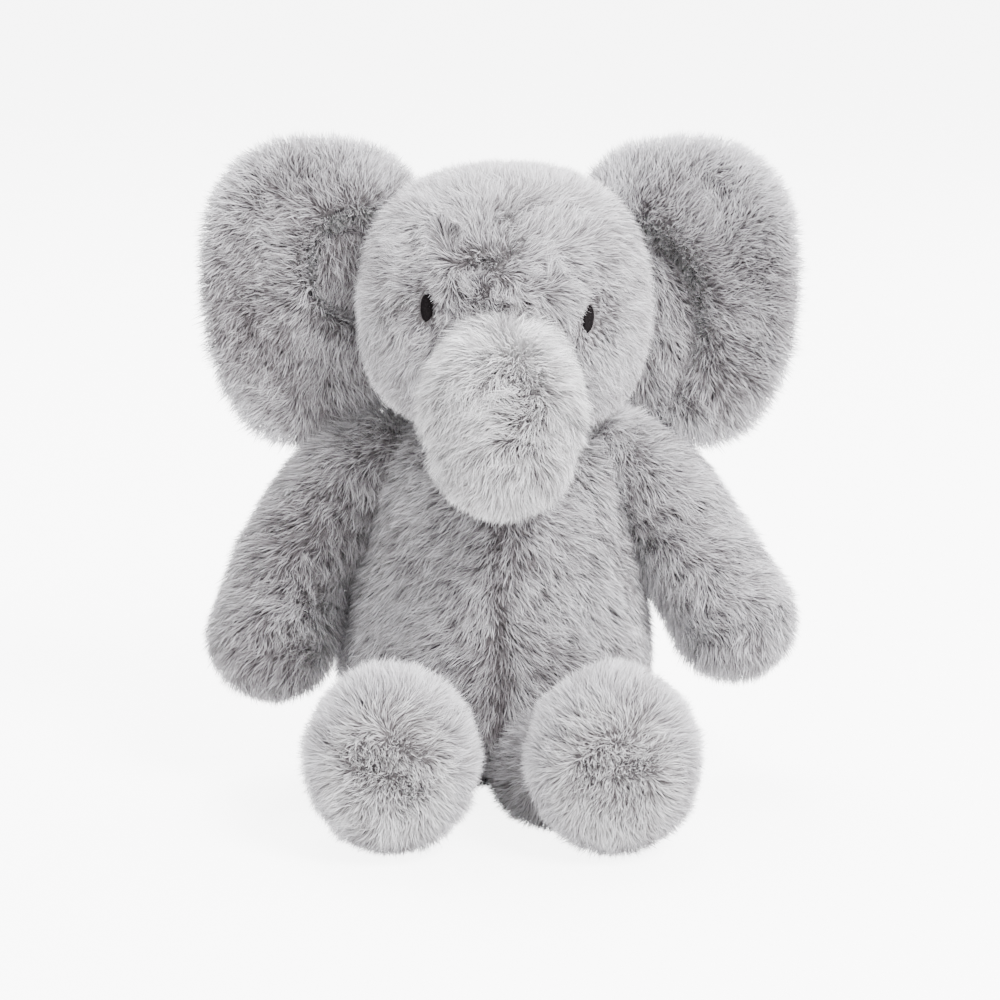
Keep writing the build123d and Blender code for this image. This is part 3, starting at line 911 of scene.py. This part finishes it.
dress("tail", tail_skin(), ["tail_right_panel", "tail_left_panel"],
      tail_panel, tail_comb, [GREY_FUR] * 2, pile=TAIL_PILE, seed=99)


# ---------------------------------------------------------------- embroidered eyes

def stitch_line(x, z, v, width, height):
    """The middle line of one stitch, at height share v from -1 to 1, domed over the head's skin."""
    rx, ry, rz = (r - INSET for r in HEAD_RADII)
    reach = width * math.sqrt(1 - v * v)
    line = []
    for s in np.linspace(-1, 1, 9):
        px = x + s * reach
        pz = z + v * height + s * 0.5
        q = 1 - ((px - HEAD[0]) / rx) ** 2 - ((pz - HEAD[2]) / rz) ** 2
        skin_y = HEAD[1] - ry * math.sqrt(q) + 1.6
        dome = 1.9 * math.sqrt(max(1 - (s * reach / width) ** 2 - v * v * 0.96, 0.02))
        line.append((px, skin_y - dome, pz))
    return np.array(line)


def satin_eye(side, word):
    """A domed oval of slanted satin stitches over the skin."""
    x, z = EYES[side]
    width, height = 2.4, 5.4
    stitches, rounds, thread_radius = 19, 8, 0.40
    points, loops = [], []
    for k in range(stitches):
        line = stitch_line(x, z, -1 + 2 * (k + 0.5) / stitches, width, height)
        along = unit(np.gradient(line, axis=0))
        up = unit(np.cross(along, np.array([0, 1.0, 0])))
        out = np.cross(up, along)
        for centre, a, b in zip(line, up, out):
            for j in range(rounds):
                t = 2 * math.pi * j / rounds
                points.append(centre + thread_radius * (a * math.cos(t) + b * math.sin(t)))
        loops.append(k * len(line) * rounds + grid_faces(len(line), rounds).ravel())
    loops = np.concatenate(loops)
    starts = np.arange(len(loops) // 4) * 4
    made = make_mesh(word + "_eye_stitches", np.array(points), loops, starts, EYE_THREAD)
    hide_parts(word + "_eye_embroidery")
    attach(made, "head")


for side, word in SIDES:
    satin_eye(side, word)


# ---------------------------------------------------------------- the CAD pieces that stay

def paint(node, material):
    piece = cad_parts[node]
    piece.data.materials.clear()
    piece.data.materials.append(material)


# The CAD pieces that stay are told by the endings of their names.
KEPT = {"fibre_fill": FIBRE, "pouch_cloth": POUCH, "pellet_fill": PELLETS, "stitches": SEAM_THREAD}
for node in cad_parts:
    for ending, material in KEPT.items():
        if node.endswith(ending):
            paint(node, material)
# The flat CAD wadding would poke out of the cupped ears, so their front backing stands for it too.
for _, word in SIDES:
    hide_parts(word + "_ear_wadding")


# ---------------------------------------------------------------- stage, light and camera

FLOOR_SIZE = 60.0
# The floor glows for the camera only, so that it is as pale as the photo's backdrop and lights nothing.
FLOOR_GLOW = 6.2
# Each light's place, target, size and power.
LIGHTS = {
    "key": ((0.9, -1.0, 1.5), (0, 0, 0.12), 0.8, 70),
    "fill": ((-1.3, -1.3, 0.8), (0, 0, 0.14), 1.2, 6),
    "top": ((-0.1, 0.45, 1.7), (0, 0, 0.15), 0.9, 34),
    "left_rim": ((-1.2, 1.0, 0.8), (0, 0, 0.15), 1.3, 13),
    "right_rim": ((1.2, 1.0, 0.8), (0, 0, 0.15), 1.3, 21),
}
CAMERA_TARGET = Vector((0, 0, 0.119))
CAMERA_DISTANCE = 1.35
CAMERA_ELEVATION = math.radians(14)


def plane(name, size, material):
    mesh = bpy.data.meshes.new(name)
    corners = [(-size, -size, 0), (size, -size, 0), (size, size, 0), (-size, size, 0)]
    mesh.from_pydata(corners, [], [(0, 1, 2, 3)])
    mesh.materials.append(material)
    made = bpy.data.objects.new(name, mesh)
    bpy.context.scene.collection.objects.link(made)


def look_at(thing, place, target):
    thing.location = place
    thing.rotation_euler = (Vector(target) - Vector(place)).to_track_quat("-Z", "Y").to_euler()
    bpy.context.scene.collection.objects.link(thing)


floor_paint, floor_nodes, floor_links, floor_shader = new_material("floor_paint")
floor_shader.inputs["Base Color"].default_value = (0.92, 0.92, 0.92, 1)
floor_shader.inputs["Roughness"].default_value = 0.9
floor_shader.inputs["Emission Color"].default_value = (1, 1, 1, 1)
sight = floor_nodes.new("ShaderNodeLightPath")
glow = floor_nodes.new("ShaderNodeMath")
glow.operation = "MULTIPLY"
glow.inputs[1].default_value = FLOOR_GLOW
floor_links.new(sight.outputs["Is Camera Ray"], glow.inputs[0])
floor_links.new(glow.outputs[0], floor_shader.inputs["Emission Strength"])
plane("floor", FLOOR_SIZE, floor_paint)

world = bpy.data.worlds.new("studio")
bpy.context.scene.world = world
world.use_nodes = True
sky = world.node_tree.nodes["Background"]
sky.inputs["Color"].default_value = (0.95, 0.95, 0.96, 1)
sky.inputs["Strength"].default_value = 1.1

for name, (place, target, size, power) in LIGHTS.items():
    data = bpy.data.lights.new(name, "AREA")
    data.shape = "DISK"
    data.size = size
    data.energy = power
    look_at(bpy.data.objects.new(name, data), place, target)

camera_data = bpy.data.cameras.new("camera")
camera_data.lens = 115.7
camera_data.sensor_width = 36
camera = bpy.data.objects.new("camera", camera_data)
swing = Vector((0, -math.cos(CAMERA_ELEVATION), math.sin(CAMERA_ELEVATION)))
look_at(camera, CAMERA_TARGET + CAMERA_DISTANCE * swing, CAMERA_TARGET)
bpy.context.scene.camera = camera
